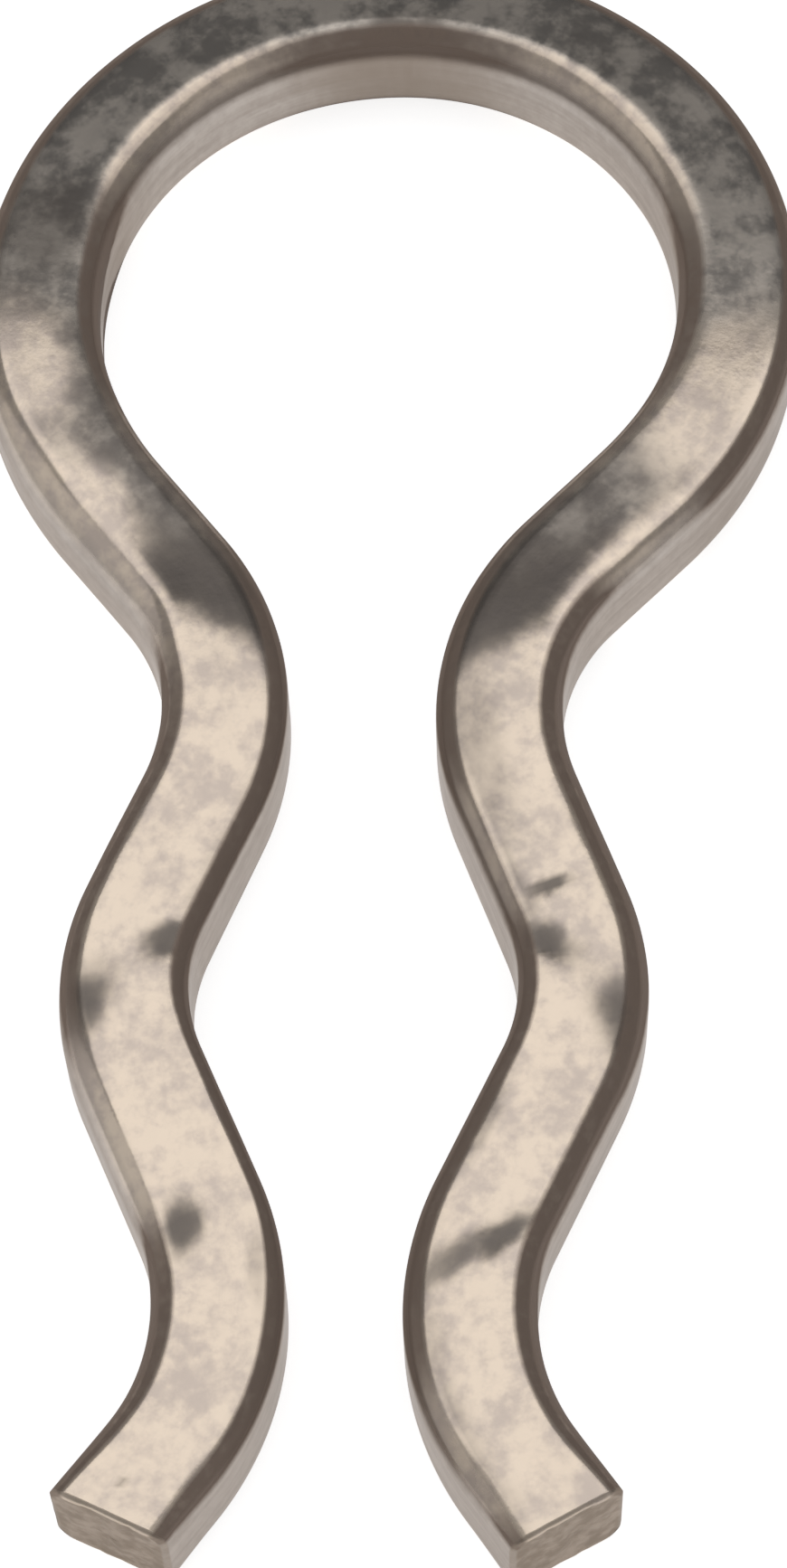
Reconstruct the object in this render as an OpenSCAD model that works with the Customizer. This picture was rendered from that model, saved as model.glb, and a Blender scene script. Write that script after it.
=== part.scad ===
// Snap ring: a hairpin clip of square spring wire, bent in one plane.
// A round loop joins two wavy legs. The legs close in at an upper neck, bow out
// to a seat that grips a pin, close in again at a lower neck, and flare apart at
// the sheared ends, so that they ride up over the pin as the clip is pushed on.
// Millimetres and degrees. The clip lies flat on Z = 0, its loop towards +Y.

/* [Wire] */
// Width of the wire, in the plane of the clip
wire_w = 0.8; // [0.5:0.05:1]
// Height of the wire, from its underside to its top face
wire_h = 0.8; // [0.5:0.05:1.2]
// Radius of the wire's four long edges
edge_r = 0.17; // [0.05:0.01:0.25]

/* [Loop] */
// Radius of the loop's right half, to the middle of the wire
right_loop_r = 2.23; // [2:0.01:2.6]
// Radius of the loop's left half, to the middle of the wire
left_loop_r = 2.35; // [2:0.01:2.6]
// Angle that each half of the loop turns through, from the crown
loop_angle = 131.5; // [129:0.5:133]
// Length of the straight between the loop and the upper neck
shoulder_l = 0.7; // [0.5:0.01:0.9]

/* [Legs] */
// Bend radius of the upper neck
upper_neck_r = 1.57; // [1.3:0.01:1.8]
// Angle at which each leg bows out from the upper neck to its seat
bow_angle = 22; // [20:0.5:30]
// Length of the straight above the seat
upper_l = 0.85; // [0.4:0.01:1.2]
// Bend radius of the seat
seat_r = 1.39; // [1.1:0.01:1.8]
// Angle at which each leg closes in from its seat to the lower neck
close_angle = 24.5; // [18:0.5:27]
// Length of the straight below the seat
lower_l = 0.93; // [0.4:0.01:1.3]
// Bend radius of the lower neck
lower_neck_r = 1.57; // [1.1:0.01:2]
// Angle by which both legs lean to the right of the loop
lean_angle = 2; // [-3:0.5:3]

/* [Ends] */
// Angle at which each end flares out
flare_angle = 36; // [20:1:50]
// Length of the straight at each end
end_l = 0.49; // [0.3:0.01:1.5]
// Angle of the right end's shear cut, off square
right_cut_angle = 6; // [-15:1:15]
// Angle of the left end's shear cut, off square
left_cut_angle = 12; // [-15:1:15]

/* [Hidden] */
$fn = 96;
STEEL = [0.78, 0.73, 0.67];
RIGHT = 1;
LEFT = -1;
// Heading of the legs, where the crown's is 0
LEGS = -90;

// One half of the clip, from the crown to the end, as runs of [turn, size]: a
// bend of that radius, to the left where the turn is positive, or with no turn
// a straight of that length. The left half is the same list, mirrored.
function runs(side) = [
    [-loop_angle, side == RIGHT ? right_loop_r : left_loop_r],
    [0, shoulder_l],
    [LEGS + bow_angle + side * lean_angle + loop_angle, upper_neck_r],
    [0, upper_l],
    [-bow_angle - close_angle, seat_r],
    [0, lower_l],
    [close_angle + flare_angle, lower_neck_r],
    [0, end_l]
];

function cut_of(side) = side == RIGHT ? right_cut_angle : left_cut_angle;

// Where a run ends, as [x, y, heading], from where it starts
function after(start, run) =
    let (
        heading = start[2],
        next = heading + run[0],
        r = sign(run[0]) * run[1]
    )
    run[0] == 0
    ? start + [run[1] * cos(heading), run[1] * sin(heading), 0]
    : start + [r * (sin(next) - sin(heading)), r * (cos(heading) - cos(next)), run[0]];

// Where the first n runs end. The crown is at the origin, heading along +X.
function end_of(list, n) = n == 0 ? [0, 0, 0] : after(end_of(list, n - 1), list[n - 1]);

// The lowest Y of an end, at the outer corner of its cut
function foot(side) =
    let (tip = end_of(runs(side), len(runs(side))))
    tip[1] - wire_w / 2 * abs(cos(tip[2]) + tan(cut_of(side)) * sin(tip[2]));

// The wire's section: square, with round edges, standing on the X axis
module section() {
    core_w = wire_w - 2 * edge_r;
    core_h = wire_h - 2 * edge_r;
    translate([0, wire_h / 2]) {
        square([wire_w, core_h], center = true);
        square([core_w, wire_h], center = true);
        for (x = [-1, 1], y = [-1, 1])
            translate([x * core_w / 2, y * core_h / 2]) circle(edge_r);
    }
}

// A straight from the origin along +X
module straight(length) {
    rotate([90, 0, 90]) linear_extrude(length) section();
}

// A straight from the origin along +X, sheared off at its far end
module sheared_straight(length, cut) {
    block = 4 * wire_w;
    intersection() {
        straight(length + wire_w);
        translate([length, 0, 0]) rotate([0, 0, -cut])
            translate([-block, -block / 2, -wire_h / 2]) cube([block, block, 2 * wire_h]);
    }
}

// A bend from the origin, heading along +X and turning left
module left_bend(turn, r) {
    translate([0, r, 0]) rotate([0, 0, -90])
        rotate_extrude(angle = turn) translate([r, 0]) section();
}

// One run, from the origin along +X
module bend_or_straight(run) {
    if (run[0] == 0) straight(run[1]);
    else if (run[0] > 0) left_bend(run[0], run[1]);
    else mirror([0, 1, 0]) left_bend(-run[0], run[1]);
}

// Moves what comes next from the start of a run to its end
module past(run) {
    r = sign(run[0]) * run[1];
    if (run[0] == 0) translate([run[1], 0, 0]) children();
    else translate([0, r, 0]) rotate([0, 0, run[0]]) translate([0, -r, 0]) children();
}

// The wire from run number i of the list to its sheared end
module wire(list, i, cut) {
    if (i == len(list) - 1) sheared_straight(list[i][1], cut);
    else {
        bend_or_straight(list[i]);
        past(list[i]) wire(list, i + 1, cut);
    }
}

module half(side) {
    wire(runs(side), 0, cut_of(side));
}

// The whole clip, centred over the origin
module clip() {
    top = wire_w / 2;
    bottom = min(foot(RIGHT), foot(LEFT));
    color(STEEL)
        translate([(left_loop_r - right_loop_r) / 2, -(top + bottom) / 2, 0]) {
            half(RIGHT);
            mirror([1, 0, 0]) half(LEFT);
        }
}

clip();
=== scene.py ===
"""Snap ring of square spring wire, with the tent that lights it.

The wire is swept from the crown of its loop along the runs of each half, then
given what bending and shearing leave on it: it swells inside each bend, it is
dented where the forming tools gripped it, and its sheared ends are drawn in.
Sizes are in metres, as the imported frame's are. The clip lies flat on Z = 0,
with its loop towards +Y.
"""

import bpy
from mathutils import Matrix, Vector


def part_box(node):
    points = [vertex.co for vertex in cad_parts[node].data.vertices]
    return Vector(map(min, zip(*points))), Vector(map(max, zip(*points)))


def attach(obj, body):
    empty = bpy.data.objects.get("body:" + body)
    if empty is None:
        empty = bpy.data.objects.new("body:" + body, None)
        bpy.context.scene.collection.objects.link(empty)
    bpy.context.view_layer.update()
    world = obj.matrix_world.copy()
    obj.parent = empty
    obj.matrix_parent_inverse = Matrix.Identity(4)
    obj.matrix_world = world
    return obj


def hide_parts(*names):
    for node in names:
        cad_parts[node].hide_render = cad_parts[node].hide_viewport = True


bl_info = {
    "name": "Snap Ring",
    "version": (1, 0, 0),
    "blender": (4, 5, 0),
    "location": "View3D > Sidebar > Snap Ring",
    "description": "Models a snap ring of square spring wire and the tent that lights it",
    "category": "Add Mesh",
}

from collections import namedtuple
from math import atan2, cos, radians, sin, tan

import bmesh
import bpy
from bpy.props import FloatProperty, FloatVectorProperty, PointerProperty
from bpy.types import Operator, Panel, PropertyGroup
from mathutils import Matrix, Vector, noise

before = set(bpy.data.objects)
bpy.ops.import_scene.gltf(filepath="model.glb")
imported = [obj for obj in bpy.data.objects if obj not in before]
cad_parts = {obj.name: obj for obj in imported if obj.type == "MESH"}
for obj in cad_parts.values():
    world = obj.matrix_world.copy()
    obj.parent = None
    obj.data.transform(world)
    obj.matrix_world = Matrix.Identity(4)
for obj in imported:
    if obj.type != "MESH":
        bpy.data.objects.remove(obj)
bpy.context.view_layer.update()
clip_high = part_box("clip")[1]

MM = 0.001
RIGHT, LEFT = 1, -1

# Legs head straight down from the loop, where the crown heads along +X
LEGS = radians(-90)
QUARTER = radians(90)

# ---------------------------------------------------------------- sizes


def length(name, description, size):
    return FloatProperty(
        name=name, description=description, default=size, unit="LENGTH", precision=5
    )


def angle(name, description, degrees):
    return FloatProperty(
        name=name, description=description, default=radians(degrees), subtype="ANGLE"
    )


def fraction(name, description, part):
    return FloatProperty(
        name=name, description=description, default=part, subtype="FACTOR", min=0, max=1
    )


def tint(name, description, colour):
    return FloatVectorProperty(
        name=name, description=description, default=colour, subtype="COLOR", min=0, max=1
    )


class SnapRingWire(PropertyGroup):
    """The wire and how it is bent"""

    width: length("Width", "Width of the wire, in the plane of the clip", 0.8 * MM)
    height: length("Height", "Height of the wire where it is most swollen", clip_high.z)
    loop_edge: length("Edge Radius, Loop", "Radius of the long edges in the loop", 0.25 * MM)
    leg_edge: length("Edge Radius, Legs", "Radius of the long edges in the legs", 0.17 * MM)
    end_edge: length("Edge Radius, Ends", "Radius of the long edges at the ends", 0.13 * MM)
    right_loop: length("Right Loop Radius", "Radius of the loop's right half", 2.23 * MM)
    left_loop: length("Left Loop Radius", "Radius of the loop's left half", 2.35 * MM)
    loop_angle: angle("Loop", "Angle that each half of the loop turns through", 131.5)
    shoulder: length("Shoulder", "Straight between the loop and the upper neck", 0.7 * MM)
    upper_neck: length("Upper Neck Radius", "Bend radius of the upper neck", 1.57 * MM)
    bow_angle: angle("Bow", "Angle at which each leg bows out to its seat", 22)
    upper: length("Upper Straight", "Straight above the seat", 0.85 * MM)
    seat: length("Seat Radius", "Bend radius of the seat that grips the pin", 1.39 * MM)
    close_angle: angle("Close", "Angle at which each leg closes in below its seat", 24.5)
    lower: length("Lower Straight", "Straight below the seat", 0.93 * MM)
    lower_neck: length("Lower Neck Radius", "Bend radius of the lower neck", 1.57 * MM)
    lean_angle: angle("Lean", "Angle by which both legs lean to the right", 2)
    flare_angle: angle("Flare", "Angle at which each end flares out", 36)
    end: length("End Straight", "Straight at each end", 0.49 * MM)
    right_cut: angle("Right Cut", "Shear angle of the right end, off square", 6)
    left_cut: angle("Left Cut", "Shear angle of the left end, off square", 12)
    swell: fraction("Swell", "Share of the bending strain that goes to the height", 0.25)


class SnapRingFinish(PropertyGroup):
    """Colours and surface of the steel, with its painted shade and painted light"""

    bright: tint("Bright", "Rolled faces of the wire", (0.81, 0.685, 0.56))
    blush: tint("Blush", "Pinkish patches of the rolled faces", (0.60, 0.51, 0.445))
    # Flank and Dull Flank are partly the drawn sides' own duller grey and partly painted shade,
    # darkened to stand in for the darker surroundings that the sides reflect
    flank: tint("Flank", "Drawn sides of the wire", (0.45, 0.405, 0.37))
    dull_flank: tint("Dull Flank", "Darker streaks of the drawn sides", (0.345, 0.305, 0.275))
    # Painted shade: the Loop Flank colour darkens the sides in the loop, under the loop's painted
    # shade, as a painted dark reflection
    loop_flank_painted_shade: tint("Loop Flank", "Drawn sides of the wire in the loop", (0.235, 0.192, 0.157))
    # Painted shade: the Edge and Deep Edge colours paint dark reflections on the round edges
    edge: tint("Edge", "Scale left on the round edges", (0.255, 0.197, 0.162))
    deep_edge_shade: tint("Deep Edge", "Scale where the edges meet the drawn sides", (0.28, 0.22, 0.185))
    # Painted shade: the Oxide and Dull Oxide colours darken the loop's upper face, as a painted
    # dark reflection
    painted_shade: tint("Oxide", "Oxide in the loop", (0.51, 0.465, 0.418))
    dull_painted_shade: tint("Dull Oxide", "Darker patches of the oxide in the loop", (0.225, 0.21, 0.195))
    # Painted shade: the Burnt colour is the darkest painted shade, on the shoulders and at the
    # tools' marks
    dark_painted_shade: tint("Burnt", "Oxide where tools gripped the wire", (0.125, 0.11, 0.10))
    cut: tint("Cut", "Sheared faces of the ends", (0.275, 0.225, 0.18))
    burnish: tint("Burnish", "Smeared patches of the sheared faces", (0.40, 0.335, 0.28))
    roughness: fraction("Roughness", "Roughness of the rolled faces", 0.16)


# ---------------------------------------------------------------- the wire's path

Run = namedtuple("Run", "turn radius length")


def bend(turn, radius):
    return Run(turn, radius, abs(turn) * radius)


def straight(run_length):
    return Run(0, 0, run_length)


def runs(wire, side):
    """Runs of one half from the crown to the end. Right bends have a negative turn,
    and the left half is the same list, mirrored."""
    return [
        bend(-wire.loop_angle, wire.right_loop if side == RIGHT else wire.left_loop),
        straight(wire.shoulder),
        bend(LEGS + wire.bow_angle + side * wire.lean_angle + wire.loop_angle, wire.upper_neck),
        straight(wire.upper),
        bend(-wire.bow_angle - wire.close_angle, wire.seat),
        straight(wire.lower),
        bend(wire.close_angle + wire.flare_angle, wire.lower_neck),
        straight(wire.end),
    ]


class Half:
    """One half of the wire, measured along its middle from the crown."""

    def __init__(self, wire, side):
        self.side = side
        self.runs = runs(wire, side)
        self.length = sum(run.length for run in self.runs)
        self.cut = wire.right_cut if side == RIGHT else wire.left_cut

    def turned(self, along):
        """How far the wire has turned at a place along it."""
        turned = 0
        for run in self.runs:
            share = min(max(along / run.length, 0), 1)
            turned += run.turn * share
            along -= run.length
        return turned

    def heading(self, along):
        turned = self.turned(along)
        return Vector((self.side * cos(turned), sin(turned), 0))

    def outward(self, along):
        """Across the wire, towards the outside of the loop and of the flared end."""
        turned = self.turned(along)
        return Vector((-self.side * sin(turned), cos(turned), 0))

    def curvature(self, along):
        """Mean curvature over the stretch that a bend spreads its strain over."""
        low = abs(along - BEND_SPREAD)
        high = along + BEND_SPREAD
        if along < BEND_SPREAD:
            return (self.turned(high) + self.turned(low)) / (2 * BEND_SPREAD)
        return (self.turned(high) - self.turned(low)) / (2 * BEND_SPREAD)


# ---------------------------------------------------------------- what forming leaves, and where shade and light are painted

# How far each way a bend spreads its strain along the wire
BEND_SPREAD = 0.3 * MM
# The solid's bends are faceted, so the sides stay this far inside it
SKIN = 0.002 * MM
# The sheared ends are drawn in to this share of the wire's width, over this stretch
END_SHARE = 0.93
END_STRETCH = 1.6 * MM
# How far the rim of a sheared end is rolled back, and how much of the cut's look it has
RIM = 0.025 * MM
RIM_CUT = 0.6
# Share of the half width over which the torn face starts behind its rim
TEAR_START = 0.14
# Stretch over which the loop's rounder edges sharpen to the legs'
LOOP_FADE = 1.5 * MM
# Waviness of the faces
WAVE_HEIGHT = 0.0035 * MM
WAVE_PITCH = 0.7 * MM
# Roughness of the torn part of a sheared face: its height, pitch and stretch upwards,
# the share of its height that it lies back by, and its noise's falloff, step and octaves
TEAR_HEIGHT = 0.014 * MM
TEAR_PITCH = 0.16 * MM
TEAR_STRETCH = 0.4
TEAR_BACK = 0.6
TEAR_NOISE = (1.0, 2.0, 4)
# Depth of the fine relief in the surface
RELIEF = 0.002 * MM

# A place on the upper face: where it is along and across the wire, its reach each way,
# and how far it runs back along the wire for each step towards the outside
Place = namedtuple("Place", "side along across reach spread slant", defaults=[0])

# Marks that the forming tools left: place, depth of the dent, and how dark the painted shade on it
# is, which paints the dent's dark reflection; marks of no depth are painted shade only
Mark = namedtuple("Mark", "place depth stain")
MARKS = [
    Mark(Place(LEFT, 0, -0.24 * MM, 0.42 * MM, 0.09 * MM), 0, 0.85),
    Mark(Place(RIGHT, 0, -0.24 * MM, 0.42 * MM, 0.09 * MM), 0, 0.85),
    Mark(Place(LEFT, 3.30 * MM, 0.00 * MM, 0.50 * MM, 0.40 * MM), 0, 0.55),
    Mark(Place(RIGHT, 1.30 * MM, 0.10 * MM, 0.40 * MM, 0.35 * MM), 0, 0.3),
    Mark(Place(LEFT, 8.85 * MM, -0.26 * MM, 0.15 * MM, 0.17 * MM, -0.5), 0.010 * MM, 0.92),
    Mark(Place(LEFT, 9.32 * MM, 0.29 * MM, 0.20 * MM, 0.24 * MM, -0.5), 0.010 * MM, 0.88),
    Mark(Place(LEFT, 9.08 * MM, 0.00 * MM, 0.14 * MM, 0.24 * MM, -0.75), 0.002 * MM, 0.2),
    Mark(Place(LEFT, 8.30 * MM, -0.32 * MM, 1.30 * MM, 0.09 * MM), 0, 0.35),
    Mark(Place(LEFT, 10.83 * MM, 0.15 * MM, 0.18 * MM, 0.14 * MM, -0.3), 0.010 * MM, 0.88),
    Mark(Place(LEFT, 11.18 * MM, -0.26 * MM, 0.24 * MM, 0.08 * MM), 0.004 * MM, 0.35),
    Mark(Place(LEFT, 12.62 * MM, 0.04 * MM, 0.025 * MM, 0.03 * MM), 0.006 * MM, 0.7),
    Mark(Place(RIGHT, 8.69 * MM, -0.22 * MM, 0.16 * MM, 0.19 * MM, -0.6), 0.010 * MM, 0.92),
    Mark(Place(RIGHT, 9.22 * MM, 0.30 * MM, 0.22 * MM, 0.24 * MM, -0.6), 0.010 * MM, 0.85),
    Mark(Place(RIGHT, 8.92 * MM, 0.03 * MM, 0.14 * MM, 0.24 * MM, -0.8), 0.002 * MM, 0.3),
    Mark(Place(RIGHT, 7.30 * MM, -0.26 * MM, 0.80 * MM, 0.28 * MM), 0, 0.5),
    Mark(Place(RIGHT, 8.30 * MM, -0.32 * MM, 0.70 * MM, 0.14 * MM), 0, 0.55),
    Mark(Place(RIGHT, 11.80 * MM, -0.32 * MM, 1.00 * MM, 0.17 * MM), 0, 0.5),
    Mark(Place(RIGHT, 10.73 * MM, 0.12 * MM, 0.15 * MM, 0.15 * MM, 0.8), 0.010 * MM, 0.92),
    Mark(Place(RIGHT, 10.93 * MM, -0.12 * MM, 0.12 * MM, 0.26 * MM, 0.8), 0.005 * MM, 0.72),
    Mark(Place(RIGHT, 10.10 * MM, -0.28 * MM, 0.35 * MM, 0.08 * MM), 0.004 * MM, 0.55),
    Mark(Place(RIGHT, 8.33 * MM, -0.06 * MM, 0.055 * MM, 0.16 * MM), 0.004 * MM, 0.85),
]
# How far the outlines of marks wander, over what distance, and how much finer and
# weaker a second wandering is
WANDER = 0.04 * MM
WANDER_PITCH = 0.2 * MM
WANDER_FINER = 3.1
WANDER_WEAKER = 0.6
# Starts the wandering at the same place in every run
WANDER_SEED = 16

# The loop's painted shade, a darker upper face that stands in for a dark reflection, ends here
# along the wire, slanting back towards its outside
LOOP_SHADE_END = 6.6 * MM
LOOP_SHADE_SLANT = 1.0
LOOP_SHADE_FADE = 0.5 * MM
# The painted shade is darker on the shoulders, as a painted dark reflection there: by a share of
# its full darkness from the first place, and fully from the second
PART_DARK_SHADE = 3.7 * MM
ALL_DARK_SHADE = 5.8 * MM
DARK_SHADE_FADE = 0.8 * MM
DARK_SHADE_SHARE = 0.6
# Painted light: patches where the loop's painted shade is left out, standing in for lighter
# reflections
PAINTED_LIGHT_PATCHES = [
    Place(LEFT, 4.33 * MM, 0.10 * MM, 0.45 * MM, 0.27 * MM),
    Place(LEFT, 5.42 * MM, 0.14 * MM, 0.42 * MM, 0.20 * MM),
    Place(LEFT, 2.00 * MM, -0.33 * MM, 0.95 * MM, 0.12 * MM),
    Place(RIGHT, 4.36 * MM, 0.08 * MM, 0.60 * MM, 0.50 * MM),
    Place(RIGHT, 5.75 * MM, 0.27 * MM, 0.90 * MM, 0.12 * MM),
    Place(RIGHT, 1.75 * MM, -0.36 * MM, 0.95 * MM, 0.12 * MM),
]

# A stretch of one edge, and by how much something changes there. Across is negative
# for the inside of the loop and positive for its outside.
Stretch = namedtuple("Stretch", "side along across reach change")
# Where the painted edge shade is left out, so that these edges show the lighter reflection of the
# tent
EDGE_SHADE_GAPS = [
    Stretch(LEFT, 1.95 * MM, -1, 0.95 * MM, -0.75),
    Stretch(LEFT, 5.50 * MM, -1, 0.80 * MM, -0.6),
    Stretch(RIGHT, 5.30 * MM, -1, 0.90 * MM, -0.5),
    Stretch(LEFT, 5.45 * MM, 1, 1.30 * MM, -1.0),
    Stretch(LEFT, 10.10 * MM, 1, 0.65 * MM, -1.0),
    Stretch(RIGHT, 1.75 * MM, -1, 1.10 * MM, -0.75),
    Stretch(RIGHT, 5.40 * MM, 1, 0.42 * MM, -0.9),
    Stretch(RIGHT, 7.95 * MM, -1, 0.50 * MM, -0.6),
    Stretch(RIGHT, 12.05 * MM, -1, 0.45 * MM, -0.7),
]
# Where the painted edge shade, a painted dark reflection kept in the scale attribute, reaches
# further down the side of the wire, as a share of a quarter turn
EDGE_SHADE_REACHES = [
    Stretch(LEFT, 3.90 * MM, -1, 0.70 * MM, 0.5),
    Stretch(LEFT, 5.10 * MM, -1, 1.70 * MM, 0.3),
    Stretch(LEFT, 10.20 * MM, -1, 0.90 * MM, 0.25),
    Stretch(LEFT, 7.95 * MM, 1, 1.00 * MM, 0.25),
    Stretch(LEFT, 12.00 * MM, 1, 0.90 * MM, 0.25),
    Stretch(RIGHT, 5.20 * MM, -1, 1.70 * MM, 0.3),
    Stretch(RIGHT, 10.20 * MM, -1, 1.20 * MM, 0.25),
    Stretch(RIGHT, 8.00 * MM, 1, 1.00 * MM, 0.25),
    Stretch(RIGHT, 11.90 * MM, 1, 0.80 * MM, 0.25),
]
# Where edges are rounder or sharper than the rest of the wire's, by this radius
ROUNDED = [
    Stretch(LEFT, 5.60 * MM, 1, 0.95 * MM, 0.11 * MM),
    Stretch(LEFT, 10.10 * MM, 1, 0.70 * MM, 0.04 * MM),
    Stretch(LEFT, 10.20 * MM, -1, 0.90 * MM, -0.055 * MM),
    Stretch(LEFT, 4.00 * MM, -1, 1.00 * MM, -0.07 * MM),
    Stretch(RIGHT, 4.20 * MM, -1, 1.00 * MM, -0.03 * MM),
    Stretch(RIGHT, 8.60 * MM, 1, 3.60 * MM, 0.035 * MM),
    Stretch(LEFT, 7.40 * MM, 1, 0.60 * MM, 0.03 * MM),
    Stretch(LEFT, 11.60 * MM, 1, 0.60 * MM, 0.03 * MM),
]

# How sharply such a stretch ends
STRETCH_POWER = 6

# Shares of the quarter turn of a round edge between which its painted edge shade (the scale
# attribute) starts, deepens and ends, the drawn side takes over from the rolled face, and the gaps
# in the painted edge shade take away the loop's painted shade
EDGE_SHADE_STARTS = (0.12, 0.26)
EDGE_SHADE_DEEPENS = (0.5, 0.68)
EDGE_SHADE_ENDS = (0.58, 0.84)
FLANK_STARTS = (0.35, 0.75)
SHADE_GAP_STARTS = (0, 0.2)

# Fineness of the mesh: a step along the wire, the cuts of each flat, the segments of each
# round edge and the rings of each sheared face
STEP = 0.04 * MM
FLAT_CUTS = 9
EDGE_SEGMENTS = 8
END_RINGS = 13


def wire_section(bm, wire):
    """Draws the wire's section at the crown: square, with round edges. Returns its ring."""
    corner = wire.leg_edge
    upright = Matrix.Rotation(QUARTER, 4, "Y")
    square = bmesh.ops.create_grid(bm, x_segments=1, y_segments=1, size=0.5, matrix=upright)
    bmesh.ops.scale(bm, vec=(1, wire.width, wire.height), verts=square["verts"])
    bmesh.ops.translate(bm, vec=(0, 0, wire.height / 2), verts=square["verts"])
    bmesh.ops.bevel(
        bm, geom=square["verts"], offset=corner, segments=EDGE_SEGMENTS,
        profile=0.5, affect="VERTICES", material=-1,
    )
    flats = [edge for edge in bm.edges if edge.calc_length() > 2 * corner]
    bmesh.ops.subdivide_edges(bm, edges=flats, cuts=FLAT_CUTS)
    bmesh.ops.delete(bm, geom=bm.faces[:], context="FACES_ONLY")
    across = bm.verts.layers.float["across"]
    for vert in bm.verts:
        vert[across] = vert.co.y
    return bm.verts[:] + bm.edges[:]


def sweep(bm, ring, half):
    """Extrudes the section along one half of the wire and returns its last ring."""
    along = bm.verts.layers.float["along"]
    side = bm.verts.layers.float["side"]
    middle = Vector((0, 0, 0))
    place = 0
    for run in half.runs:
        steps = max(1, round(run.length / STEP))
        advance = run.length / steps
        pivot = middle + half.outward(place) * run.radius * (1 if run.turn > 0 else -1)
        forward = half.heading(place) * advance if run.turn == 0 else Vector((0, 0, 0))
        turn = half.side * run.turn / steps
        for _ in range(steps):
            ring = bmesh.ops.spin(
                bm, geom=ring, cent=pivot, axis=(0, 0, 1), dvec=forward, angle=turn, steps=1
            )["geom_last"]
            place += advance
            for vert in (item for item in ring if isinstance(item, bmesh.types.BMVert)):
                vert[along] = place
                vert[side] = half.side
        middle = pivot + Matrix.Rotation(half.side * run.turn, 3, "Z") @ (middle - pivot)
        if run.turn == 0:
            middle += half.heading(place) * run.length
    return ring


def close_end(bm, ring):
    """Closes an end with rings of faces, so that its sheared face can be rough."""
    across, inset = bm.verts.layers.float["across"], bm.verts.layers.float["inset"]
    edges = [item for item in ring if isinstance(item, bmesh.types.BMEdge)]
    rim = dict.fromkeys(vert for edge in edges for vert in edge.verts)
    middle = sum((vert.co for vert in rim), Vector()) / len(rim)
    share = 1
    for ring_number in range(1, END_RINGS + 1):
        made = bmesh.ops.extrude_edge_only(bm, edges=edges)["geom"]
        made_edges = [item for item in made if isinstance(item, bmesh.types.BMEdge)]
        edges = [edge for edge in made_edges if len(edge.link_faces) == 1]
        inner = dict.fromkeys(vert for edge in edges for vert in edge.verts)
        wanted = 1 - ring_number / (END_RINGS + 1)
        for vert in inner:
            vert.co = middle + (vert.co - middle) * wanted / share
            vert[across] *= wanted / share
            vert[inset] = 1 - wanted
        share = wanted
    cap = bmesh.ops.contextual_create(bm, geom=edges)["faces"]
    centre = bmesh.ops.poke(bm, faces=cap)["verts"]
    for vert in centre:
        vert[inset] = 1


def eased(share):
    share = min(max(share, 0), 1)
    return share * share * (3 - 2 * share)


def risen(place, stretch):
    """0 before a stretch, 1 after it, and smooth between."""
    start, end = stretch
    return eased((place - start) / (end - start))


def rounder(place, half_size, drawn, wanted):
    """Moves a point of the section so that its edges have another radius."""
    flat = half_size - drawn
    held = min(max(place, -flat), flat)
    return held * (half_size - wanted) / flat + (place - held) * wanted / drawn


def nearness(place, side, along, across):
    """1 in the middle of a place, 0.5 at its rim and 0 well outside it."""
    if place.side != side:
        return 0
    across -= place.across
    along += place.slant * across - place.along
    away = (along / place.reach) ** 2 + (across / place.spread) ** 2
    return 1 / (1 + away ** 2)


def painted_shade_on(side, along, across):
    """How much painted shade, how much of its darker part, and how deep a dent there is at a place
    on the upper face.
    """
    spot = Vector((side * along, across, 0)) / WANDER_PITCH
    finer = noise.noise_vector(spot * WANDER_FINER) * WANDER_WEAKER
    drift = (noise.noise_vector(spot) + finer) * WANDER
    along, across = along + drift.x, across + drift.y
    slanted = along + LOOP_SHADE_SLANT * across
    painted_shade = eased((LOOP_SHADE_END - slanted) / LOOP_SHADE_FADE + 0.5)
    dark_painted_shade = DARK_SHADE_SHARE * eased((slanted - PART_DARK_SHADE) / DARK_SHADE_FADE + 0.5)
    dark_painted_shade += (1 - DARK_SHADE_SHARE) * eased((slanted - ALL_DARK_SHADE) / DARK_SHADE_FADE + 0.5)
    # Painted light: the painted shade is taken away in these patches
    for place in PAINTED_LIGHT_PATCHES:
        painted_shade *= 1 - nearness(place, side, along, across)
    depth = 0
    for mark in MARKS:
        near = nearness(mark.place, side, along, across)
        depth += mark.depth * near
        painted_shade = max(painted_shade, mark.stain * near)
        dark_painted_shade = max(dark_painted_shade, mark.stain * near)
    return painted_shade, dark_painted_shade, depth


def changed(stretches, side, along, across):
    """Sum of the changes at a place on an edge."""
    total = 0
    for stretch in stretches:
        if stretch.side == side and stretch.across * across > 0:
            away = abs(along - stretch.along) / stretch.reach
            total += stretch.change / (1 + away ** STRETCH_POWER)
    return total


def painted_edge_shade_on(turned_over, further):
    """How much painted edge shade, a painted dark reflection, there is on a round edge that has
    turned over so far: up to 1 on its upper part, and up to 2 where it meets the drawn side."""
    scale = risen(turned_over, EDGE_SHADE_STARTS) + risen(turned_over, EDGE_SHADE_DEEPENS)
    return scale * (1 - risen(turned_over - further, EDGE_SHADE_ENDS))


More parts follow.
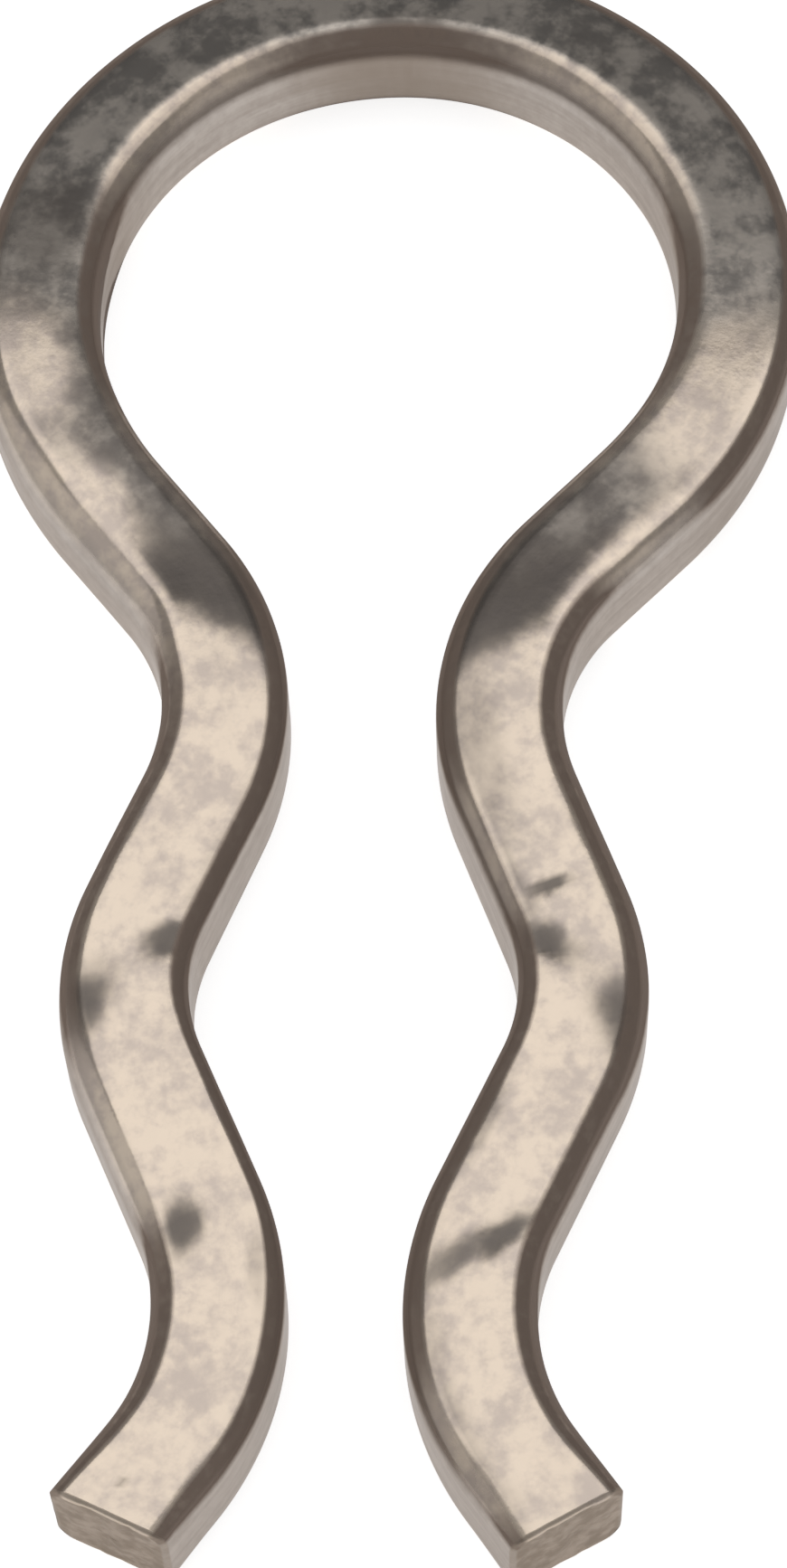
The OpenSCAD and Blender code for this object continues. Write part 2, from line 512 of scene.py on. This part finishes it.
def form(bm, wire, halves):
    """Gives the swept wire what bending and shearing leave on it, and stores the masks of its
    painted shade and painted light.
    """
    noise.seed_set(WANDER_SEED)
    layers = {layer.name: layer for layer in bm.verts.layers.float}
    drawn = bm.verts.layers.float_vector["drawn"]
    half_width, half_height = wire.width / 2, wire.height / 2
    most_swell = 1 + wire.swell * half_width / wire.seat
    for vert in bm.verts:
        half = halves[RIGHT if vert[layers["side"]] >= 0 else LEFT]
        along, inset = vert[layers["along"]], vert[layers["inset"]]
        first_across, first_up = vert[layers["across"]], vert.co.z - half_height

        at_tip = eased((along - half.length) / wire.end + 1)
        inside_loop = eased((half.runs[0].length - along) / LOOP_FADE) * (first_across < 0)
        edge = wire.leg_edge + (wire.loop_edge - wire.leg_edge) * inside_loop
        edge += changed(ROUNDED, half.side, along, first_across)
        edge += (wire.end_edge - edge) * at_tip
        across = rounder(first_across, half_width, wire.leg_edge, edge)
        up = rounder(first_up, half_height, wire.leg_edge, edge)
        over = max(abs(across) - half_width + edge, 0)
        rise = max(abs(up) - half_height + edge, 0)
        turned_over = atan2(over, rise) / QUARTER if over + rise > 0 else 0
        if over > 0 and rise == 0:
            turned_over = 1 + (half_height - edge - abs(up)) / (half_height - edge)

        at_end = eased((along - half.length) / END_STRETCH + 1)
        across *= (1 - SKIN / half_width) * (1 + (END_SHARE - 1) * at_end)
        swelling = 1 + wire.swell * half.curvature(along) * across
        up *= (swelling + (most_swell - swelling) * at_end) / most_swell
        painted_shade, dark_painted_shade, depth = painted_shade_on(half.side if up > 0 else -half.side, along, across)
        up -= depth * eased(abs(up) / (half_height - edge)) * (1 if up > 0 else -1)

        place = Vector((half.side * along, across, up))
        wave = WAVE_HEIGHT * noise.noise(place / WAVE_PITCH)
        up -= (WAVE_HEIGHT + wave) * (1 if up > 0 else -1)
        forward = across * tan(half.cut) * at_tip
        at_rim = inset == 0 and along > half.length - STEP / 4
        if inset > 0:
            spot = Vector((across, up * TEAR_STRETCH, 0)) / TEAR_PITCH
            tear = noise.fractal(spot, *TEAR_NOISE)
            forward -= TEAR_HEIGHT * (TEAR_BACK + tear) * eased(inset / TEAR_START)
        forward -= at_rim * RIM

        vert.co += half.outward(along) * (across - first_across) + half.heading(along) * forward
        vert.co.z = up + half_height
        vert[drawn] = place
        # Gaps in the painted shade: the painted edge shade is left out here, and so is the loop's
        # painted shade on these edges
        shade_gap = max(changed(EDGE_SHADE_GAPS, half.side, along, across), -1)
        vert[layers["painted_shade"]] = painted_shade * (1 + min(shade_gap, 0) * risen(turned_over, SHADE_GAP_STARTS))
        vert[layers["dark_painted_shade"]] = dark_painted_shade
        further = changed(EDGE_SHADE_REACHES, half.side, along, across)
        # The scale attribute holds the painted edge shade, a painted dark reflection
        vert[layers["scale"]] = painted_edge_shade_on(turned_over, further) * (1 + shade_gap)
        vert[layers["flank"]] = risen(turned_over, FLANK_STARTS)
        vert[layers["cut"]] = eased(inset / TEAR_START) if inset > 0 else at_rim * RIM_CUT


def clip_mesh(wire):
    bm = bmesh.new()
    for name in ("across", "along", "side", "inset", "painted_shade", "dark_painted_shade", "scale", "flank", "cut"):
        bm.verts.layers.float.new(name)
    bm.verts.layers.float_vector.new("drawn")
    section = wire_section(bm, wire)
    halves = {side: Half(wire, side) for side in (RIGHT, LEFT)}
    ends = {side: sweep(bm, section, half) for side, half in halves.items()}
    for side in halves:
        close_end(bm, ends[side])
    crown = Vector(((wire.left_loop - wire.right_loop) / 2, clip_high.y - wire.width / 2, 0))
    form(bm, wire, halves)
    bmesh.ops.translate(bm, vec=crown, verts=bm.verts[:])
    bmesh.ops.recalc_face_normals(bm, faces=bm.faces[:])
    for face in bm.faces:
        face.smooth = True
    mesh = bpy.data.meshes.new("spring_clip")
    bm.to_mesh(mesh)
    bm.free()
    return mesh


# ---------------------------------------------------------------- materials


class Value:
    """A number that changes over the surface, for maths written as Python."""

    def __init__(self, shader, socket):
        self.shader, self.socket = shader, socket

    def maths(self, operation, *values):
        node = self.shader.node("ShaderNodeMath", {"operation": operation}, *values)
        return Value(self.shader, node.outputs[0])

    def __add__(self, other):
        return self.maths("ADD", self, other)

    def __sub__(self, other):
        return self.maths("SUBTRACT", self, other)

    def __rsub__(self, other):
        return self.maths("SUBTRACT", other, self)

    def __mul__(self, other):
        return self.maths("MULTIPLY", self, other)

    def __abs__(self):
        return self.maths("ABSOLUTE", self)

    __radd__ = __add__
    __rmul__ = __mul__

    def smaller(self, other):
        return self.maths("MINIMUM", self, other)

    def larger(self, other):
        return self.maths("MAXIMUM", self, other)

    def between(self, low, high):
        """0 at low or below, 1 at high or above, and smooth between."""
        node = self.shader.node(
            "ShaderNodeMapRange", {"interpolation_type": "SMOOTHSTEP"}, self, low, high, 0, 1
        )
        return Value(self.shader, node.outputs["Result"])


class Shader:
    """A material's node tree, built one node at a time."""

    def __init__(self, name):
        self.material = bpy.data.materials.new(name)
        self.material.use_nodes = True
        self.tree = self.material.node_tree
        self.tree.nodes.clear()

    def node(self, kind, settings=None, *values, **named):
        node = self.tree.nodes.new(kind)
        for key, setting in (settings or {}).items():
            setattr(node, key, setting)
        for key, value in [*enumerate(values), *named.items()]:
            socket = node.inputs[key.replace("_", " ") if isinstance(key, str) else key]
            if isinstance(value, Value):
                self.tree.links.new(value.socket, socket)
            elif isinstance(value, bpy.types.NodeSocket):
                self.tree.links.new(value, socket)
            elif value is not None:
                socket.default_value = value
        return node

    def attribute(self, name, output="Fac"):
        node = self.node("ShaderNodeAttribute", {"attribute_name": name})
        return Value(self, node.outputs[output])

    def noise(self, place, scale, detail, roughness):
        node = self.node(
            "ShaderNodeTexNoise", {}, Vector=place, Scale=scale, Detail=detail, Roughness=roughness
        )
        return Value(self, node.outputs["Fac"])

    def stretched(self, place, factors, offset=(0, 0, 0)):
        node = self.node("ShaderNodeMapping", {}, Vector=place, Location=offset, Scale=factors)
        return Value(self, node.outputs["Vector"])

    def mix(self, share, first, second):
        """The first colour, with a share of the second over it."""
        node = self.node("ShaderNodeMix", {"data_type": "RGBA"})
        for key, value in (("Factor_Float", share), ("A_Color", first), ("B_Color", second)):
            socket = next(item for item in node.inputs if item.identifier == key)
            if isinstance(value, (Value, bpy.types.NodeSocket)):
                self.tree.links.new(getattr(value, "socket", value), socket)
            else:
                socket.default_value = (*value, 1) if hasattr(value, "__len__") else value
        return next(item for item in node.outputs if item.identifier == "Result_Color")

    def bump(self, height, distance):
        node = self.node("ShaderNodeBump", {}, Height=height, Distance=distance)
        return node.outputs["Normal"]

    def finish(self, surface):
        output = self.node("ShaderNodeOutputMaterial")
        self.tree.links.new(surface, output.inputs["Surface"])
        return self.material


# Dark steel's reflection near grazing, against a perfect mirror's
GRAZING = (0.75, 0.71, 0.68, 1)
# How little the painted edge shade reflects: it is made less metallic, which darkens the edges
# further
EDGE_SHADE_MATT = 0.82

# Patterns of the surface: how many to a millimetre, their detail and their roughness
CLOUDS = (1.9, 4, 0.6)
PATCHES = (4.5, 3, 0.55)
SPECKS = (11, 3, 0.6)
GRAIN = (36, 2, 0.6)
STREAKS = (1.0, 3, 0.6)
# Keeps the patches from following the clouds
PATCH_SHIFT = (9, 4, 2)
# Drawing makes the streaks long and thin
STREAK_STRETCH = (0.9, 14, 14)

# How two finishes share a surface: what each pattern adds, and the sums below which
# there is only the first and above which there is only the second
Sharing = namedtuple("Sharing", "clouds patches specks streaks low high")
MOTTLED = Sharing(0.35, 0.35, 0.3, 0, 0.42, 0.61)
DRAWN = Sharing(0, 0, 0.4, 0.6, 0.3, 0.7)
DULLED = Sharing(0.45, 0.35, 0.2, 0, 0.435, 0.585)
SMEARED = Sharing(0, 0.5, 0.5, 0, 0.4, 0.62)

# How far the patches move the painted shade's outline, where it starts and is full, and how much
# of the steel it hides
SHADE_RAGGED = 0.45
SHADE_STARTS, SHADE_FULL = 0.05, 0.95
SHADE_HIDES = 0.94
# The same for its darker part
DARK_SHADE_RAGGED = 0.5
DARK_SHADE_STARTS, DARK_SHADE_FULL = 0.1, 0.9
# The painted edge shade's thinnest share, and what the specks add to it
EDGE_SHADE_THIN, EDGE_SHADE_SPECKS = 0.75, 0.5

# What adds to the roughness, and the roughness of a sheared face
CLOUD_ROUGHNESS = 0.10
STREAK_ROUGHNESS = 0.06
FLANK_ROUGHNESS = 0.16
SHADE_ROUGHNESS = 0.06
CUT_ROUGHNESS = 0.5
# What each pattern adds to the fine relief, and the specks of a sheared face
CLOUD_RELIEF, SPECK_RELIEF, STREAK_RELIEF, GRAIN_RELIEF = 0.5, 0.3, 0.2, 0.1
CUT_RELIEF = 1.5


def steel(finish):
    """Rolled spring steel: bright faces, drawn flanks partly darkened as painted shade, painted
    dark reflections on the round edges, in the loop and at the tools' marks, and torn ends."""
    sheet = Shader("spring_steel")
    place = sheet.stretched(sheet.attribute("drawn", "Vector"), (1 / MM, 1 / MM, 1 / MM))
    painted_shade, dark_painted_shade = sheet.attribute("painted_shade"), sheet.attribute("dark_painted_shade")
    scale, flank, cut = sheet.attribute("scale"), sheet.attribute("flank"), sheet.attribute("cut")

    clouds = sheet.noise(place, *CLOUDS)
    patches = sheet.noise(sheet.stretched(place, (1, 1, 1), PATCH_SHIFT), *PATCHES)
    specks = sheet.noise(place, *SPECKS)
    grain = sheet.noise(place, *GRAIN)
    streaks = sheet.noise(sheet.stretched(place, STREAK_STRETCH), *STREAKS)

    def shared(sharing, first, second):
        """Two finishes that share a surface."""
        patterns = zip((clouds, patches, specks, streaks), sharing)
        added = sum(pattern * amount for pattern, amount in patterns if amount)
        return sheet.mix(added.between(sharing.low, sharing.high), first, second)

    rolled = shared(MOTTLED, finish.bright, finish.blush)
    # The drawn sides: their own duller grey, partly darkened as painted shade
    drawn = shared(DRAWN, finish.flank, finish.dull_flank)
    # Under the loop's painted shade the sides take the painted shade of Loop Flank
    drawn = sheet.mix(painted_shade * (1 - dark_painted_shade), drawn, finish.loop_flank_painted_shade)
    colour = sheet.mix(flank, rolled, drawn)

    # Painted dark reflection on the loop's upper face and at the tools' marks, with its darkest
    # part
    outline = (patches - 0.5) * SHADE_RAGGED * (1 - abs(painted_shade * 2 - 1))
    ragged = (painted_shade + outline).between(SHADE_STARTS, SHADE_FULL) * (1 - flank)
    darkest = (dark_painted_shade + (patches - 0.5) * DARK_SHADE_RAGGED).between(DARK_SHADE_STARTS, DARK_SHADE_FULL)
    stain = sheet.mix(darkest, shared(DULLED, finish.painted_shade, finish.dull_painted_shade), finish.dark_painted_shade)
    colour = sheet.mix(ragged * SHADE_HIDES, colour, stain)

    # Painted dark reflection on the round edges, from the scale attribute, in the Edge and Deep
    # Edge colours
    deep = (scale - 1).between(0, 1)
    painted_edge_shade = (scale * (EDGE_SHADE_THIN + specks * EDGE_SHADE_SPECKS)).smaller(1)
    colour = sheet.mix(painted_edge_shade, colour, sheet.mix(deep, finish.edge, finish.deep_edge_shade))
    colour = sheet.mix(cut, colour, shared(SMEARED, finish.cut, finish.burnish))

    roughness = finish.roughness + (clouds - 0.5) * CLOUD_ROUGHNESS
    roughness = roughness + (streaks - 0.5) * STREAK_ROUGHNESS
    roughness = roughness + flank * FLANK_ROUGHNESS + ragged * SHADE_ROUGHNESS
    roughness = roughness * (1 - cut) + cut * CUT_ROUGHNESS

    relief = clouds * CLOUD_RELIEF + specks * SPECK_RELIEF + streaks * STREAK_RELIEF
    relief = relief + grain * GRAIN_RELIEF + cut * specks * CUT_RELIEF
    shader = sheet.node(
        "ShaderNodeBsdfPrincipled", {}, Metallic=1 - painted_edge_shade * (1 - cut) * EDGE_SHADE_MATT,
        Base_Color=colour, Roughness=roughness, Normal=sheet.bump(relief, RELIEF),
        Specular_Tint=GRAZING, Specular_IOR_Level=0.0,
    )
    return sheet.finish(shader.outputs["BSDF"])


# ---------------------------------------------------------------- the tent

CAMERA_TARGET = (0.23 * MM, -0.52 * MM, 0.4 * MM)
CAMERA_DISTANCE = 29.157 * MM
CAMERA_AZIMUTH = radians(5.84)
CAMERA_ELEVATION = radians(62.964)
CAMERA_ROLL = radians(-2.789)
CAMERA_LENS = 107.05
SENSOR = 36

NEAREST_SEEN, FARTHEST_SEEN = 0.5 * MM, 5

WHITE = (1, 1, 1, 1)
FLOOR_SIZE = 400 * MM
# The floor paper's colour, and the glow that makes it white to the eye
PAPER = (0.8, 0.8, 0.8, 1)
PAPER_GLOW = 0.78

TENT_HEIGHT = 60 * MM
TENT_GAP = 0.2 * MM
TENT_FRONT = 45 * MM
# How far the tent's mouth opens from straight overhead, each way
MOUTH_BACK = radians(33.5)
MOUTH_FRONT = radians(-7)
MOUTH_SIDE = radians(34)
# The tent's cloths, behind the clip, before it and at its sides, and their brightness
BEHIND, BEFORE, BESIDE = range(3)
CLOTHS = {BEHIND: 0.27, BEFORE: 0.40, BESIDE: 0.55}
# How far back the sides' lighter cloth reaches on the left and on the right
LIGHT_LEFT, LIGHT_RIGHT = 10 * MM, -6 * MM
# A face looks along an axis where its normal has more than this of it
FACING = 0.5


def make_camera():
    camera = bpy.data.cameras.new("camera")
    camera.sensor_fit = "VERTICAL"
    camera.sensor_height = SENSOR
    camera.lens = CAMERA_LENS
    camera.clip_start, camera.clip_end = NEAREST_SEEN, FARTHEST_SEEN
    holder = bpy.data.objects.new("camera", camera)
    bpy.context.scene.collection.objects.link(holder)
    turn = (
        Matrix.Rotation(CAMERA_AZIMUTH, 4, "Z")
        @ Matrix.Rotation(QUARTER - CAMERA_ELEVATION, 4, "X")
        @ Matrix.Rotation(CAMERA_ROLL, 4, "Z")
    )
    back = turn.to_3x3() @ Vector((0, 0, CAMERA_DISTANCE))
    holder.matrix_world = Matrix.Translation(Vector(CAMERA_TARGET) + back) @ turn
    bpy.context.scene.camera = holder


def make_floor():
    """Paper that is white to the camera and in reflections, and lights the clip plainly."""
    bm = bmesh.new()
    bmesh.ops.create_grid(bm, x_segments=1, y_segments=1, size=FLOOR_SIZE / 2)
    mesh = bpy.data.meshes.new("floor")
    bm.to_mesh(mesh)
    bm.free()
    floor = bpy.data.objects.new("floor", mesh)
    bpy.context.scene.collection.objects.link(floor)
    sheet = Shader("floor_paper")
    path = sheet.node("ShaderNodeLightPath")
    camera = Value(sheet, path.outputs["Is Camera Ray"])
    mirrored = Value(sheet, path.outputs["Is Glossy Ray"])
    through = Value(sheet, path.outputs["Is Transmission Ray"])
    seen = camera.larger(mirrored).larger(through)
    paper = sheet.node("ShaderNodeBsdfDiffuse", {}, PAPER)
    white = sheet.node("ShaderNodeEmission", {}, WHITE, PAPER_GLOW)
    lit = sheet.node("ShaderNodeAddShader", {}, paper.outputs[0], white.outputs[0])
    both = sheet.node("ShaderNodeMixShader", {}, seen, paper.outputs[0], lit.outputs[0])
    mesh.materials.append(sheet.finish(both.outputs[0]))


def make_tent():
    """Cloth all round the clip, open overhead, that its polished steel mirrors."""
    bm = bmesh.new()
    bmesh.ops.create_cube(bm, size=1)
    side, back = TENT_HEIGHT * tan(MOUTH_SIDE), TENT_HEIGHT * tan(MOUTH_BACK)
    mouth = -TENT_HEIGHT * tan(MOUTH_FRONT)
    bmesh.ops.scale(bm, vec=(2 * side, back + TENT_FRONT, TENT_HEIGHT), verts=bm.verts[:])
    middle = (0, (back - TENT_FRONT) / 2, TENT_HEIGHT / 2 + TENT_GAP)
    bmesh.ops.translate(bm, vec=middle, verts=bm.verts[:])
    for cut in (mouth, LIGHT_LEFT, LIGHT_RIGHT):
        everything = bm.verts[:] + bm.edges[:] + bm.faces[:]
        bmesh.ops.bisect_plane(bm, geom=everything, plane_co=(0, cut, 0), plane_no=(0, 1, 0))
    open_faces = []
    for face in bm.faces:
        place = face.calc_center_median()
        beside = abs(face.normal.x) > FACING
        if face.normal.z < -FACING or (face.normal.z > FACING and place.y > mouth):
            open_faces.append(face)
        elif beside and place.y < (LIGHT_RIGHT if place.x > 0 else LIGHT_LEFT):
            face.material_index = BESIDE
        elif place.y < mouth and not beside:
            face.material_index = BEFORE
    bmesh.ops.delete(bm, geom=open_faces, context="FACES")
    mesh = bpy.data.meshes.new("tent")
    bm.to_mesh(mesh)
    bm.free()
    tent = bpy.data.objects.new("tent", mesh)
    bpy.context.scene.collection.objects.link(tent)
    tent.visible_camera = False
    tent.visible_shadow = False
    for grey in CLOTHS.values():
        sheet = Shader("tent_cloth")
        cloth = sheet.node("ShaderNodeEmission", {}, (grey, grey, grey, 1), 1.0)
        mesh.materials.append(sheet.finish(cloth.outputs[0]))


def make_world():
    world = bpy.data.worlds.new("studio")
    bpy.context.scene.world = world
    world.use_nodes = True
    background = world.node_tree.nodes["Background"]
    background.inputs["Color"].default_value = WHITE
    background.inputs["Strength"].default_value = 1


# ---------------------------------------------------------------- operators


class SNAPRING_OT_clip(Operator):
    """Sweep the wire along its runs, form it and give it its steel"""

    bl_idname = "snap_ring.clip"
    bl_label = "Make Clip"

    def execute(self, context):
        wire = context.scene.snap_ring_wire
        mesh = clip_mesh(wire)
        clip = bpy.data.objects.new("spring_clip", mesh)
        context.scene.collection.objects.link(clip)
        mesh.materials.append(steel(context.scene.snap_ring_finish))
        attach(clip, "root")
        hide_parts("clip")
        return {"FINISHED"}


class SNAPRING_OT_stage(Operator):
    """Make the camera, the floor, the tent and the light that falls through its mouth"""

    bl_idname = "snap_ring.stage"
    bl_label = "Make Stage"

    def execute(self, context):
        make_camera()
        make_floor()
        make_tent()
        make_world()
        context.scene.view_settings.view_transform = "Standard"
        return {"FINISHED"}


class SNAPRING_PT_sidebar(Panel):
    """Sizes and finish of the snap ring"""

    bl_idname = "SNAPRING_PT_sidebar"
    bl_label = "Snap Ring"
    bl_space_type = "VIEW_3D"
    bl_region_type = "UI"
    bl_category = "Snap Ring"

    def draw(self, context):
        for group in (context.scene.snap_ring_wire, context.scene.snap_ring_finish):
            column = self.layout.column(align=True)
            for name in group.__annotations__:
                column.prop(group, name)
        self.layout.operator(SNAPRING_OT_clip.bl_idname)
        self.layout.operator(SNAPRING_OT_stage.bl_idname)


CLASSES = (
    SnapRingWire,
    SnapRingFinish,
    SNAPRING_OT_clip,
    SNAPRING_OT_stage,
    SNAPRING_PT_sidebar,
)


def register():
    for cls in CLASSES:
        bpy.utils.register_class(cls)
    bpy.types.Scene.snap_ring_wire = PointerProperty(type=SnapRingWire)
    bpy.types.Scene.snap_ring_finish = PointerProperty(type=SnapRingFinish)


def unregister():
    del bpy.types.Scene.snap_ring_finish
    del bpy.types.Scene.snap_ring_wire
    for cls in reversed(CLASSES):
        bpy.utils.unregister_class(cls)


def main():
    register()
    bpy.ops.snap_ring.clip()
    bpy.ops.snap_ring.stage()


if __name__ == "__main__":
    main()
